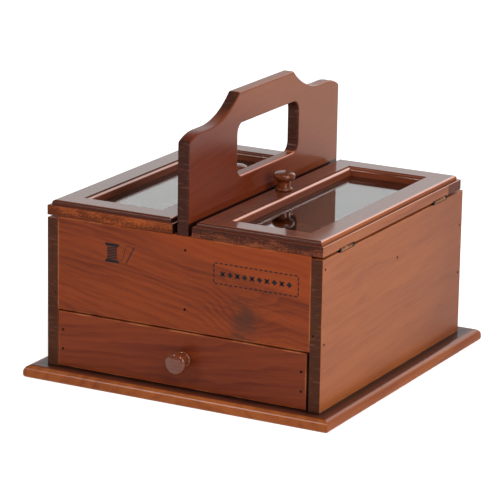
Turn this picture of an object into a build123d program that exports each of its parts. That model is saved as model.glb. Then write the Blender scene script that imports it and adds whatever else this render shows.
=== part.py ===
from build123d import *
import os

# A wooden thread box: a carry handle, two glazed lids that swing outwards, and one drawer below.
# Millimetres, +Z up. The origin is under the middle of the base board, and the drawer faces -Y.

# ---------------------------------------------------------------- driving dimensions
# Case
WIDTH = 240.0  # over the side panels
DEPTH = 250.0  # front face to rear face
PANEL = 9.5  # thickness of the side, front and rear panels
FRONT_TOP = 120.8  # top of the front and rear panels, above the base board
ARRIS = 0.6  # sanded edges of the boards
NEAR = 0.05  # reach of a search for the edges at one height
BASE_THICK = 10.0
BASE_SIDE = 14.0  # how far the base board stands out at the sides
BASE_FRONT = 14.0
BASE_REAR = 15.6
BASE_TOP_ROUND = 5.5
BASE_FOOT_ROUND = 2.5
BAY_HEIGHT = 46.0  # clear height of the drawer bay
FLOOR_THICK = 4.0  # compartment floor
DIVIDER_THICK = 6.0  # cross divider in each compartment
DIVIDER_HEIGHT = 54.0
DIVIDER_BACK = 4.0  # how far the cross dividers stand behind the middle

# Handle board
HANDLE_THICK = 10.2
HANDLE_FRONT_SHORT = 0.5  # the board ends this far behind the case's front face
HANDLE_REAR_OVER = 1.0  # and this far past its rear face
SHOULDER_EDGE = 193.5  # heights above the base board
SHOULDER_TOP = 199.2
CREST_TOP = 218.2
SHOULDER_RUN = 20.5  # from the board's end to the top of the shoulder's curve
SWEEP_RUN = 32.5  # from the board's end to where the sweep up to the crest begins
CREST_LENGTH = 91.0
SHOULDER_ROUND = 3.0
CREST_ROUND = 2.5
HANDLE_ARRIS = 1.8
GRIP_LENGTH = 101.0
GRIP_HEIGHT = 41.7
GRIP_MIDDLE = 172.0  # height of the grip hole's middle above the base board
GRIP_BACK = 3.5  # how far the grip hole's middle lies behind the board's middle
GRIP_CORNER = 8.0

# Lids
LID_GAP = 3.4  # between the handle board and each lid
LID_REST = 0.3  # between the panels' top edge and a closed lid
LID_THICK = 11.5
LID_REAR_SHORT = 5.0  # a lid ends this far before the rear face
STEP_HEIGHT = 7.9  # upright outer face, below the stepped edge
STEP_LEDGE = 2.6
STEP_ROUND = 2.4
FLAT_WIDTH = 15.7  # flat top of each rail and stile
OVOLO_WIDTH = 3.0  # moulding round the pane
OVOLO_QUIRK = 0.8
OVOLO_ROUND = 2.8
LAP_HEIGHT = 7.9  # below this a corner is lapped, above it is mitred
PANE_SEAT = 4.2  # rebate height under the moulding
REBATE_WIDTH = 5.5
PANE_THICK = 2.0
PANE_PLAY = 0.4
STRIP_THICK = 2.0

# Hinges
HINGE_LENGTH = 25.0
HINGE_END = 39.5  # from a lid's end to the middle of the hinge
HINGE_SET = 0.75  # the hinge line lies this far inside the side panel's face
LEAF_THICK = 0.9
LEAF_WIDTH = 8.2
LEAF_GAP = 0.3  # between the closed leaves
KNUCKLE_RADIUS = 1.5
KNUCKLE_GAP = 0.2
KNUCKLE_ROOM = 0.4  # clear space round the knuckles in the wood
PIN_RADIUS = 0.75
PIN_RUNNING = 0.05
PIN_SEATED = 0.02
HINGE_SCREW_PITCH = 15.0
HINGE_SCREW_LINE = 4.6  # from the hinge line to the screws
HINGE_SCREW_RADIUS = 1.0
HINGE_SCREW_HEAD = 1.9
HINGE_SCREW_LENGTH = 6.0

# Drawer
DRAWER_LEFT_GAP = 0.4
DRAWER_RIGHT_GAP = 2.2
DRAWER_TOP_GAP = 1.1
DRAWER_FOOT_GAP = 0.3
DRAWER_REAR_GAP = 1.0
DRAWER_FRONT_THICK = 9.5
DRAWER_WALL = 8.0
DRAWER_WALL_INSET = 0.4  # the side walls stand this far inside the drawer front's ends
DRAWER_WALL_HEIGHT = 38.0
DRAWER_BOTTOM_THICK = 3.0
DRAWER_BOTTOM_UP = 4.0
GROOVE_DEPTH = 3.0
GROOVE_PLAY = 0.2

# Knobs
KNOB_RADIUS = 8.9
KNOB_FLANGE = 6.7
KNOB_NECK = 5.2
KNOB_HEIGHT = 15.6
KNOB_HEAD_THICK = 6.8
KNOB_DOME = 0.9  # how far the middle of the head's face rises over its rim
KNOB_FLANGE_THICK = 2.6
KNOB_EDGE = 2.2
KNOB_FLANGE_EDGE = 1.1
KNOB_SCREW_RADIUS = 1.5
KNOB_SCREW_HEAD = 3.1
KNOB_SCREW_BITE = 9.0  # length of the screw inside the knob
DRAWER_KNOB_RIGHT = 3.2  # the drawer's knob is this far right of the drawer's middle
DRAWER_KNOB_UP = 0.6  # and this far above it
LID_KNOB_BACK = 2.5  # a lid's knob is this far behind the lid's middle

# Brads and base screws
BRAD_RADIUS = 0.7
BRAD_HEAD = 1.1
BRAD_HEAD_THICK = 0.8
BRAD_SINK = 0.3
BRAD_LENGTH = 22.0
DRAWER_BRAD_LENGTH = 20.0
WOOD_FIT = 0.03  # radial play of a brad or screw in the wood
BASE_SCREW_RADIUS = 1.6
BASE_SCREW_HEAD = 3.3
BASE_SCREW_LENGTH = 26.0
BASE_SCREW_PITCH = 95.0
SIDE_FRONT_BRADS = (52.5, 111.0)  # heights above the base board
SIDE_REAR_BRADS = (51.0, 90.5)
DIVIDER_BRAD = 91.0
HANDLE_BRADS = (63.0, 110.0)
HANDLE_BRAD_SIDE = 3.0  # off the middle of the handle board
END_GRAIN_BRAD = 59.0
END_GRAIN_BRAD_IN = 6.8  # from the side panel's face
DRAWER_BRADS = (14.5, 30.0)

# ---------------------------------------------------------------- places worked out from them
deck = BASE_THICK
half_width = WIDTH / 2
half_depth = DEPTH / 2
inner_x = half_width - PANEL
inner_y = half_depth - PANEL
panel_middle_x = half_width - PANEL / 2
panel_middle_y = half_depth - PANEL / 2
rim = deck + FRONT_TOP
lid_bottom = rim + LID_REST
side_top = lid_bottom - 2 * LEAF_THICK - LEAF_GAP
floor_bottom = deck + BAY_HEIGHT
floor_top = floor_bottom + FLOOR_THICK

lid_in = HANDLE_THICK / 2 + LID_GAP
lid_out = half_width
lid_front = -half_depth
lid_rear = half_depth - LID_REAR_SHORT
lid_width = lid_out - lid_in
lid_length = lid_rear - lid_front
lid_middle = ((lid_in + lid_out) / 2, (lid_front + lid_rear) / 2)
lid_top = lid_bottom + LID_THICK
member = STEP_LEDGE + STEP_ROUND + FLAT_WIDTH + OVOLO_WIDTH
knob_x = lid_in + STEP_LEDGE + STEP_ROUND + FLAT_WIDTH / 2
knob_y = lid_middle[1] + LID_KNOB_BACK

hinge_x = half_width - HINGE_SET
hinge_z = (side_top + lid_bottom) / 2
hinge_places = {"front": lid_front + HINGE_END, "rear": lid_rear - HINGE_END}
hinge_half = (lid_bottom - side_top) / 2
knuckle_length = HINGE_LENGTH / 3

drawer_left = -inner_x + DRAWER_LEFT_GAP
drawer_right = inner_x - DRAWER_RIGHT_GAP
drawer_middle = (drawer_left + drawer_right) / 2
drawer_width = drawer_right - drawer_left
drawer_foot = deck + DRAWER_FOOT_GAP
drawer_front_height = BAY_HEIGHT - DRAWER_TOP_GAP - DRAWER_FOOT_GAP
drawer_face = -half_depth
drawer_wall_front = drawer_face + DRAWER_FRONT_THICK
drawer_end = inner_y - DRAWER_REAR_GAP
wall_length = drawer_end - drawer_wall_front
wall_out = drawer_width / 2 - DRAWER_WALL_INSET
wall_in = wall_out - DRAWER_WALL
drawer_back_face = drawer_end - DRAWER_WALL
drawer_bottom_z = drawer_foot + DRAWER_BOTTOM_UP
drawer_knob_x = drawer_middle + DRAWER_KNOB_RIGHT
drawer_knob_z = drawer_foot + drawer_front_height / 2 + DRAWER_KNOB_UP


# ---------------------------------------------------------------- helpers
def save(piece, name):
    """Label a finished piece and write it."""
    piece.part.label = name
    export_step(piece.part, f"parts/{name}.step")


def save_pair(piece, name):
    """Write a piece of the right-hand side and its mirror image on the left."""
    save(piece, f"right_{name}")
    with BuildPart() as mirrored:
        mirror(piece.part, about=Plane.YZ)
    save(mirrored, f"left_{name}")


def box_between(low, high, mode=Mode.ADD):
    """A box given by its lowest and highest corner."""
    size = [top - bottom for bottom, top in zip(low, high)]
    middle = tuple((bottom + top) / 2 for bottom, top in zip(low, high))
    with Locations(middle):
        Box(*size, mode=mode)


def seat(x, y, z, outwards):
    """The plane under a fastener's head: its Z axis points out of the wood."""
    across = (0, 0, 1) if outwards[2] == 0 else (1, 0, 0)
    return Plane(origin=(x, y, z), x_dir=across, z_dir=outwards)


def brad_holes(seats, length=BRAD_LENGTH):
    """Holes for brads driven in at the seats."""
    with Locations(*seats):
        CounterBoreHole(BRAD_RADIUS + WOOD_FIT, BRAD_HEAD + WOOD_FIT, BRAD_SINK + BRAD_HEAD_THICK, length)


def screw_holes(seats, radius, head, length):
    """Countersunk holes for wood screws driven in at the seats."""
    with Locations(*seats):
        CounterSinkHole(radius + WOOD_FIT, head + WOOD_FIT, length, counter_sink_angle=90)


def make_brad(length):
    """A brad, head up, its head sunk below z = 0."""
    with BuildPart() as brad:
        with BuildSketch(Plane.XY.offset(-BRAD_SINK)):
            Circle(BRAD_HEAD)
        extrude(amount=-BRAD_HEAD_THICK)
        with BuildSketch(Plane.XY.offset(-BRAD_SINK - BRAD_HEAD_THICK)):
            Circle(BRAD_RADIUS)
        extrude(amount=-(length - BRAD_SINK - BRAD_HEAD_THICK))
    return brad.part


def make_screw(radius, head, length):
    """A countersunk wood screw, head up, flush with z = 0."""
    with BuildPart() as screw:
        with BuildSketch(Plane.XZ):
            with BuildLine():
                Polyline((0, 0), (head, 0), (radius, radius - head), (radius, -length), (0, -length), close=True)
            make_face()
        revolve(axis=Axis.Z)
    return screw.part


def group(fastener, seats):
    """Copies of one fastener, one at each seat."""
    with BuildPart() as copies:
        with Locations(*seats):
            add(fastener)
    return copies


def mirrored_seats(seats):
    """The same seats on the left side."""
    left = []
    for plane in seats:
        spot = plane.origin
        normal = plane.z_dir
        left.append(seat(-spot.X, spot.Y, spot.Z, (-normal.X, normal.Y, normal.Z)))
    return left


# ---------------------------------------------------------------- fastener seats
right_side_brads = [seat(half_width, -panel_middle_y, deck + height, (1, 0, 0)) for height in SIDE_FRONT_BRADS]
right_side_brads += [seat(half_width, panel_middle_y, deck + height, (1, 0, 0)) for height in SIDE_REAR_BRADS]
right_side_brads.append(seat(half_width, DIVIDER_BACK, deck + DIVIDER_BRAD, (1, 0, 0)))
right_side_brads.append(seat(half_width - END_GRAIN_BRAD_IN, -half_depth, deck + END_GRAIN_BRAD, (0, -1, 0)))
left_side_brads = mirrored_seats(right_side_brads)
front_handle_brads = [seat(HANDLE_BRAD_SIDE, -half_depth, deck + height, (0, -1, 0)) for height in HANDLE_BRADS]
rear_handle_brads = [seat(HANDLE_BRAD_SIDE, half_depth, deck + height, (0, 1, 0)) for height in HANDLE_BRADS]
base_screw_seats = [
    seat(side * panel_middle_x, row * BASE_SCREW_PITCH, 0, (0, 0, -1)) for side in (-1, 1) for row in (-1, 0, 1)
]
drawer_brad_seats = []
for side in (-1, 1):
    wall_middle = drawer_middle + side * (wall_in + wall_out) / 2
    for height in DRAWER_BRADS:
        drawer_brad_seats.append(seat(wall_middle, drawer_face, deck + height, (0, -1, 0)))
        wall_face = drawer_middle + side * wall_out
        drawer_brad_seats.append(
            seat(wall_face, drawer_end - DRAWER_WALL / 2, deck + height, (side, 0, 0))
        )
drawer_screw_seat = seat(drawer_knob_x, drawer_wall_front, drawer_knob_z, (0, 1, 0))
drawer_screw_length = DRAWER_FRONT_THICK + KNOB_SCREW_BITE
lid_screw_seat = seat(knob_x, knob_y, lid_bottom, (0, 0, -1))
lid_screw_length = LID_THICK + KNOB_SCREW_BITE
case_leaf_seats = []
lid_leaf_seats = []
for place in hinge_places.values():
    for side in (-1, 1):
        screw_y = place + side * HINGE_SCREW_PITCH / 2
        screw_x = hinge_x - HINGE_SCREW_LINE
        case_leaf_seats.append(seat(screw_x, screw_y, side_top + LEAF_THICK, (0, 0, 1)))
        lid_leaf_seats.append(seat(screw_x, screw_y, lid_bottom - LEAF_THICK, (0, 0, -1)))

# ---------------------------------------------------------------- case
os.makedirs("parts", exist_ok=True)

with BuildPart() as base_board:
    box_between(
        (-half_width - BASE_SIDE, -half_depth - BASE_FRONT, 0),
        (half_width + BASE_SIDE, half_depth + BASE_REAR, BASE_THICK),
    )
    fillet(base_board.faces().sort_by(Axis.Z)[-1].edges(), BASE_TOP_ROUND)
    fillet(base_board.faces().sort_by(Axis.Z)[0].edges(), BASE_FOOT_ROUND)
    screw_holes(base_screw_seats, BASE_SCREW_RADIUS, BASE_SCREW_HEAD, BASE_SCREW_LENGTH)
save(base_board, "base_board")


def knuckle_notches(z, height):
    """Notches in the outer edge of the wood, for the hinge knuckles."""
    reach = KNUCKLE_RADIUS + KNUCKLE_ROOM
    for place in hinge_places.values():
        half = HINGE_LENGTH / 2 + KNUCKLE_ROOM
        low = (hinge_x - reach, place - half, min(z, z + height))
        high = (half_width + reach, place + half, max(z, z + height))
        box_between(low, high, mode=Mode.SUBTRACT)


notch_depth = KNUCKLE_RADIUS + KNUCKLE_ROOM - hinge_half

with BuildPart() as side_panel:
    box_between((inner_x, -half_depth, deck), (half_width, half_depth, side_top))
    upright = side_panel.edges().filter_by(Axis.Z).group_by(Axis.X)[-1]
    fillet(upright, ARRIS)
    knuckle_notches(side_top, -notch_depth)
    brad_holes(right_side_brads)
    screw_holes(base_screw_seats, BASE_SCREW_RADIUS, BASE_SCREW_HEAD, BASE_SCREW_LENGTH)
    screw_holes(case_leaf_seats, HINGE_SCREW_RADIUS, HINGE_SCREW_HEAD, HINGE_SCREW_LENGTH)
save_pair(side_panel, "side_panel")

with BuildPart() as front_panel:
    box_between((-inner_x, -half_depth, floor_bottom), (inner_x, -inner_y, rim))
    chamfer(front_panel.edges().filter_by(Axis.X).group_by(Axis.Y)[0], ARRIS)
    brad_holes(right_side_brads + left_side_brads + front_handle_brads)
save(front_panel, "front_panel")

with BuildPart() as rear_panel:
    box_between((-inner_x, inner_y, deck), (inner_x, half_depth, rim))
    chamfer(rear_panel.edges().filter_by(Axis.X).group_by(Axis.Y)[-1], ARRIS)
    brad_holes(right_side_brads + left_side_brads + rear_handle_brads)
save(rear_panel, "rear_panel")

with BuildPart() as compartment_floor:
    box_between((-inner_x, -inner_y, floor_bottom), (inner_x, inner_y, floor_top))
save(compartment_floor, "compartment_floor")

with BuildPart() as cross_divider:
    box_between(
        (HANDLE_THICK / 2, DIVIDER_BACK - DIVIDER_THICK / 2, floor_top),
        (inner_x, DIVIDER_BACK + DIVIDER_THICK / 2, floor_top + DIVIDER_HEIGHT),
    )
    brad_holes(right_side_brads)
save_pair(cross_divider, "cross_divider")

handle_ends = ((-1, half_depth - HANDLE_FRONT_SHORT), (1, half_depth + HANDLE_REAR_OVER))
with BuildPart() as handle_board:
    with BuildSketch(Plane.YZ):
        with BuildLine():
            for side, reach in handle_ends:
                foot = (side * reach, rim)
                shoulder_end = (side * reach, deck + SHOULDER_EDGE)
                shoulder_start = (side * (reach - SHOULDER_RUN), deck + SHOULDER_TOP)
                sweep_start = (side * (reach - SWEEP_RUN), deck + SHOULDER_TOP)
                crest_end = (side * CREST_LENGTH / 2, deck + CREST_TOP)
                Polyline((0, floor_top), (side * inner_y, floor_top), (side * inner_y, rim), foot, shoulder_end)
                TangentArc(shoulder_start, shoulder_end, tangent=(side, 0))
                Line(shoulder_start, sweep_start)
                TangentArc(sweep_start, crest_end, tangent=(-side, 0))
                Line(crest_end, (0, deck + CREST_TOP))
        make_face()
    extrude(amount=HANDLE_THICK / 2, both=True)
    shoulder_z = deck + SHOULDER_EDGE
    corners = handle_board.edges().filter_by(Axis.X)
    fillet(corners.filter_by_position(Axis.Z, shoulder_z - NEAR, shoulder_z + NEAR), SHOULDER_ROUND)
    fillet(handle_board.edges().filter_by(Axis.X).group_by(Axis.Z)[-1], CREST_ROUND)
    with BuildSketch(Plane.YZ):
        with Locations((GRIP_BACK, deck + GRIP_MIDDLE)):
            RectangleRounded(GRIP_LENGTH, GRIP_HEIGHT, GRIP_CORNER)
    extrude(amount=HANDLE_THICK, both=True, mode=Mode.SUBTRACT)
    faces = handle_board.faces().filter_by(Axis.X)
    fillet(faces.edges().filter_by(lambda edge: edge.center().Z > rim), HANDLE_ARRIS)
    brad_holes(front_handle_brads + rear_handle_brads)
save(handle_board, "handle_board")

case_brad_seats = right_side_brads + left_side_brads + front_handle_brads + rear_handle_brads
save(group(make_brad(BRAD_LENGTH), case_brad_seats), "case_brads")
save(group(make_screw(BASE_SCREW_RADIUS, BASE_SCREW_HEAD, BASE_SCREW_LENGTH), base_screw_seats), "base_screws")

# ---------------------------------------------------------------- knob, modelled upright on z = 0
with BuildPart() as knob:
    with BuildSketch(Plane.XZ):
        with BuildLine():
            head_foot = KNOB_HEIGHT - KNOB_HEAD_THICK
            face_rim = (KNOB_RADIUS - KNOB_EDGE, KNOB_HEIGHT - KNOB_DOME)
            head_rim = (KNOB_RADIUS - KNOB_EDGE, head_foot)
            neck_foot = (KNOB_NECK, KNOB_FLANGE_THICK)
            neck_top = (KNOB_NECK, (KNOB_FLANGE_THICK + head_foot) / 2)
            flange_foot = (KNOB_FLANGE - KNOB_FLANGE_EDGE, 0)
            flange_top = (KNOB_FLANGE - KNOB_FLANGE_EDGE, KNOB_FLANGE_THICK)
            Line((0, 0), flange_foot)
            RadiusArc(flange_foot, flange_top, -KNOB_FLANGE_THICK / 2)
            Line(flange_top, neck_foot)
            Line(neck_foot, neck_top)
            TangentArc(neck_top, head_rim, tangent=(0, 1))
            ThreePointArc(head_rim, (KNOB_RADIUS, (head_rim[1] + face_rim[1]) / 2), face_rim)
            TangentArc((0, KNOB_HEIGHT), face_rim, tangent=(1, 0))
            Line((0, KNOB_HEIGHT), (0, 0))
        make_face()
    revolve(axis=Axis.Z)
    with BuildSketch():
        Circle(KNOB_SCREW_RADIUS + WOOD_FIT)
    extrude(amount=KNOB_SCREW_BITE, mode=Mode.SUBTRACT)

# ---------------------------------------------------------------- drawer
groove_z = (drawer_bottom_z, drawer_bottom_z + DRAWER_BOTTOM_THICK)
groove_low = (drawer_middle - wall_in - GROOVE_DEPTH, drawer_wall_front - GROOVE_DEPTH, groove_z[0])
groove_high = (drawer_middle + wall_in + GROOVE_DEPTH, drawer_back_face + GROOVE_DEPTH, groove_z[1])

with BuildPart() as drawer_front:
    box_between(
        (drawer_left, drawer_face, drawer_foot),
        (drawer_right, drawer_wall_front, drawer_foot + drawer_front_height),
    )
    fillet(drawer_front.faces().sort_by(Axis.Y)[0].edges(), ARRIS)
    box_between(groove_low, groove_high, mode=Mode.SUBTRACT)
    brad_holes(drawer_brad_seats, DRAWER_BRAD_LENGTH)
    screw_holes([drawer_screw_seat], KNOB_SCREW_RADIUS, KNOB_SCREW_HEAD, drawer_screw_length)
save(drawer_front, "drawer_front")

for side, side_name in ((-1, "left"), (1, "right")):
    wall_faces = sorted((drawer_middle + side * wall_in, drawer_middle + side * wall_out))
    with BuildPart() as drawer_wall:
        box_between(
            (wall_faces[0], drawer_wall_front, drawer_foot),
            (wall_faces[1], drawer_end, drawer_foot + DRAWER_WALL_HEIGHT),
        )
        chamfer(drawer_wall.edges().filter_by(Axis.Y).group_by(Axis.Z)[-1], ARRIS)
        box_between(groove_low, groove_high, mode=Mode.SUBTRACT)
        brad_holes(drawer_brad_seats, DRAWER_BRAD_LENGTH)
    save(drawer_wall, f"drawer_{side_name}_side")

with BuildPart() as drawer_back:
    box_between(
        (drawer_middle - wall_in, drawer_back_face, drawer_foot),
        (drawer_middle + wall_in, drawer_end, drawer_foot + DRAWER_WALL_HEIGHT),
    )
    chamfer(drawer_back.edges().filter_by(Axis.X).group_by(Axis.Z)[-1], ARRIS)
    box_between(groove_low, groove_high, mode=Mode.SUBTRACT)
    brad_holes(drawer_brad_seats, DRAWER_BRAD_LENGTH)
save(drawer_back, "drawer_back")

with BuildPart() as drawer_bottom:
    box_between(
        (groove_low[0] + GROOVE_PLAY, groove_low[1] + GROOVE_PLAY, groove_low[2]),
        (groove_high[0] - GROOVE_PLAY, groove_high[1] - GROOVE_PLAY, groove_high[2]),
    )
save(drawer_bottom, "drawer_bottom")

with BuildPart() as drawer_knob:
    with Locations(seat(drawer_knob_x, drawer_face, drawer_knob_z, (0, -1, 0))):
        add(knob.part)
save(drawer_knob, "drawer_knob")
drawer_knob_screw = group(make_screw(KNOB_SCREW_RADIUS, KNOB_SCREW_HEAD, drawer_screw_length), [drawer_screw_seat])
save(drawer_knob_screw, "drawer_knob_screw")
save(group(make_brad(DRAWER_BRAD_LENGTH), drawer_brad_seats), "drawer_brads")

# ---------------------------------------------------------------- lids
with BuildPart() as lid_frame:
    with BuildSketch(Plane.XY.offset(lid_bottom)):
        with Locations(lid_middle):
            Rectangle(lid_width, lid_length)
    extrude(amount=STEP_HEIGHT)
    fillet(lid_frame.faces().sort_by(Axis.Z)[-1].edges(), ARRIS)
    with BuildSketch(Plane.XY.offset(lid_bottom + STEP_HEIGHT)):
        with Locations(lid_middle):
            Rectangle(lid_width - 2 * STEP_LEDGE, lid_length - 2 * STEP_LEDGE)
    extrude(amount=LID_THICK - STEP_HEIGHT)
    fillet(lid_frame.faces().sort_by(Axis.Z)[-1].edges(), STEP_ROUND)
    with BuildSketch(Plane.XY.offset(lid_top)):
        with Locations(lid_middle):
            Rectangle(lid_width - 2 * (member - OVOLO_WIDTH), lid_length - 2 * (member - OVOLO_WIDTH))
    extrude(amount=-OVOLO_QUIRK, mode=Mode.SUBTRACT)
    with BuildSketch(Plane.XY.offset(lid_top)):
        with Locations(lid_middle):
            Rectangle(lid_width - 2 * member, lid_length - 2 * member)
    extrude(amount=-LID_THICK, mode=Mode.SUBTRACT)
    quirk_z = lid_top - OVOLO_QUIRK
    quirk_edges = lid_frame.edges().filter_by_position(Axis.Z, quirk_z - NEAR, quirk_z + NEAR)
    sight_edges = quirk_edges.filter_by_position(
        Axis.X, lid_in + member - NEAR, lid_out - member + NEAR
    ).filter_by_position(Axis.Y, lid_front + member - NEAR, lid_rear - member + NEAR)
    fillet(sight_edges, OVOLO_ROUND)
    with BuildSketch(Plane.XY.offset(lid_bottom)):
        with Locations(lid_middle):
            Rectangle(lid_width - 2 * (member - REBATE_WIDTH), lid_length - 2 * (member - REBATE_WIDTH))
    extrude(amount=PANE_SEAT, mode=Mode.SUBTRACT)
    knuckle_notches(lid_bottom, notch_depth)
    screw_holes([lid_screw_seat], KNOB_SCREW_RADIUS, KNOB_SCREW_HEAD, lid_screw_length)
    screw_holes(lid_leaf_seats, HINGE_SCREW_RADIUS, HINGE_SCREW_HEAD, HINGE_SCREW_LENGTH)

sight_in, sight_out = lid_in + member, lid_out - member
sight_front, sight_rear = lid_front + member, lid_rear - member
outer = {
    "in_front": (lid_in, lid_front), "out_front": (lid_out, lid_front),
    "in_rear": (lid_in, lid_rear), "out_rear": (lid_out, lid_rear),
}
sight = {
    "in_front": (sight_in, sight_front), "out_front": (sight_out, sight_front),
    "in_rear": (sight_in, sight_rear), "out_rear": (sight_out, sight_rear),
}
# Each member of a lid: its two mitred corners, and its lower half's lowest and highest corner in plan.
lid_members = {
    "front_rail": ("in_front", "out_front", (sight_in, lid_front), (sight_out, sight_front)),
    "rear_rail": ("in_rear", "out_rear", (lid_in, sight_rear), (lid_out, lid_rear)),
    "inner_stile": ("in_front", "in_rear", (lid_in, lid_front), (sight_in, sight_rear)),
    "outer_stile": ("out_front", "out_rear", (sight_out, lid_front), (lid_out, sight_rear)),
}
lap_top = lid_bottom + LAP_HEIGHT
for member_name, (start, end, lap_low, lap_high) in lid_members.items():
    with BuildPart() as lid_member:
        box_between((*lap_low, lid_bottom), (*lap_high, lap_top))
        with BuildSketch(Plane.XY.offset(lap_top)):
            with BuildLine():
                Polyline(outer[start], outer[end], sight[end], sight[start], close=True)
            make_face()
        extrude(amount=LID_THICK - LAP_HEIGHT)
        add(lid_frame.part, mode=Mode.INTERSECT)
    save_pair(lid_member, f"lid_{member_name}")

pane_top = lid_bottom + PANE_SEAT
pane_bottom = pane_top - PANE_THICK
pane_reach = REBATE_WIDTH - PANE_PLAY
with BuildPart() as lid_glass:
    box_between(
        (sight_in - pane_reach, sight_front - pane_reach, pane_bottom),
        (sight_out + pane_reach, sight_rear + pane_reach, pane_top),
    )
save_pair(lid_glass, "lid_glass")

with BuildPart() as glass_strips:
    for along_front in (sight_front - pane_reach, sight_rear):
        box_between(
            (sight_in - pane_reach, along_front, pane_bottom - STRIP_THICK),
            (sight_out + pane_reach, along_front + pane_reach, pane_bottom),
        )
    for along_side in (sight_in - pane_reach, sight_out):
        box_between(
            (along_side, sight_front + PANE_PLAY, pane_bottom - STRIP_THICK),
            (along_side + pane_reach, sight_rear - PANE_PLAY, pane_bottom),
        )
save_pair(glass_strips, "lid_glass_strips")

with BuildPart() as lid_knob:
    with Locations((knob_x, knob_y, lid_top)):
        add(knob.part)
save_pair(lid_knob, "lid_knob")
save_pair(group(make_screw(KNOB_SCREW_RADIUS, KNOB_SCREW_HEAD, lid_screw_length), [lid_screw_seat]), "lid_knob_screw")

# ---------------------------------------------------------------- hinges, modelled on the hinge line
end_knuckles = (-knuckle_length, knuckle_length)


def make_leaf(z, own_knuckles, other_knuckles, bore, screw_up):
    """A leaf whose plate starts at height z beside the hinge line, which runs along Y."""
    with BuildPart() as leaf:
        box_between((-LEAF_WIDTH, -HINGE_LENGTH / 2, z), (0, HINGE_LENGTH / 2, z + LEAF_THICK))
        fillet(leaf.edges().filter_by(Axis.Z).group_by(Axis.X)[0], LEAF_THICK)
        for middle in other_knuckles:
            reach = KNUCKLE_RADIUS + KNUCKLE_GAP
            half = knuckle_length / 2 + KNUCKLE_GAP / 2
            box_between((-reach, middle - half, z - reach), (reach, middle + half, z + reach), mode=Mode.SUBTRACT)
        for middle in own_knuckles:
            with Locations(Plane(origin=(0, middle, 0), z_dir=(0, 1, 0))):
                Cylinder(KNUCKLE_RADIUS, knuckle_length - KNUCKLE_GAP)
        with Locations(Plane(origin=(0, 0, 0), z_dir=(0, 1, 0))):
            Cylinder(bore, HINGE_LENGTH, mode=Mode.SUBTRACT)
        head_z = z + LEAF_THICK if screw_up else z
        spots = [(-HINGE_SCREW_LINE, row * HINGE_SCREW_PITCH / 2, head_z) for row in (-1, 1)]
        seats = [seat(*spot, (0, 0, 1 if screw_up else -1)) for spot in spots]
        screw_holes(seats, HINGE_SCREW_RADIUS, HINGE_SCREW_HEAD, HINGE_SCREW_LENGTH)
    return leaf.part


case_leaf = make_leaf(-hinge_half, end_knuckles, (0,), PIN_RADIUS + PIN_SEATED, True)
lid_leaf = make_leaf(hinge_half - LEAF_THICK, (0,), end_knuckles, PIN_RADIUS + PIN_RUNNING, False)
with BuildPart() as hinge_pin:
    with Locations(Plane(origin=(0, 0, 0), z_dir=(0, 1, 0))):
        Cylinder(PIN_RADIUS, HINGE_LENGTH)

for place_name, place in hinge_places.items():
    for piece_name, piece in (("case_leaf", case_leaf), ("lid_leaf", lid_leaf), ("pin", hinge_pin.part)):
        with BuildPart() as hinge_piece:
            with Locations((hinge_x, place, hinge_z)):
                add(piece)
        save_pair(hinge_piece, f"{place_name}_hinge_{piece_name}")

hinge_screw = make_screw(HINGE_SCREW_RADIUS, HINGE_SCREW_HEAD, HINGE_SCREW_LENGTH)
save_pair(group(hinge_screw, case_leaf_seats), "case_hinge_screws")
save_pair(group(hinge_screw, lid_leaf_seats), "lid_hinge_screws")
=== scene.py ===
import math

import bpy
from mathutils import Matrix, Vector


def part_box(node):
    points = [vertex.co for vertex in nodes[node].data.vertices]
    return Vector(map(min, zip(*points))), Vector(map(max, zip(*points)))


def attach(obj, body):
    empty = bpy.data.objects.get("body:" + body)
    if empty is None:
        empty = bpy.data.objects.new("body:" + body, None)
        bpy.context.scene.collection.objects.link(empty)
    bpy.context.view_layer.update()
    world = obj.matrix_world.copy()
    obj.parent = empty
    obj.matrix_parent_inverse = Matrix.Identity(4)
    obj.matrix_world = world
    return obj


# The looks of a stained pine thread box: varnished boards with their grain, turned knobs, glass panes,
# small butt hinges and brads. Metres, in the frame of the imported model.

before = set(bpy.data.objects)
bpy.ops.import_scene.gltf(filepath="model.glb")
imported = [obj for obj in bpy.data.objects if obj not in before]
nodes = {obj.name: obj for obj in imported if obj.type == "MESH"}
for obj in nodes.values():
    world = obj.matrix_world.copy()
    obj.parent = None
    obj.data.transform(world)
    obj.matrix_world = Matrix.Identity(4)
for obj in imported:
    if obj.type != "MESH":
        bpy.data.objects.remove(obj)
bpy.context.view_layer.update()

MM = 0.001

# ---------------------------------------------------------------- the photograph's camera
CAMERA_PLACE = Vector((1.0876, -2.0549, 0.7320))
CAMERA_AZIMUTH = math.radians(28.065)
CAMERA_ELEVATION = math.radians(15.43)
CAMERA_ROLL = math.radians(0.989)
FOCAL_SHARE = 6.0544  # focal length, in widths of the picture
SENSOR_WIDTH = 36.0


def rgb(red, green, blue):
    """A screen colour as Blender's linear one."""
    linear = []
    for value in (red, green, blue):
        share = value / 255
        linear.append(share / 12.92 if share <= 0.04045 else ((share + 0.055) / 1.055) ** 2.4)
    return (*linear, 1.0)


# ---------------------------------------------------------------- shader helpers
def add_node(tree, kind, **settings):
    """A new shader node with its settings."""
    made = tree.nodes.new(kind)
    for name, value in settings.items():
        setattr(made, name, value)
    return made


def feed(tree, socket, value):
    """Joins a socket to another one, or sets its value."""
    if isinstance(value, bpy.types.NodeSocket):
        tree.links.new(value, socket)
    else:
        socket.default_value = value


def calc(tree, operation, *values, clamp=False):
    """A math node on sockets or plain numbers."""
    made = add_node(tree, "ShaderNodeMath", operation=operation, use_clamp=clamp)
    for socket, value in zip(made.inputs, values):
        feed(tree, socket, value)
    return made.outputs[0]


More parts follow.
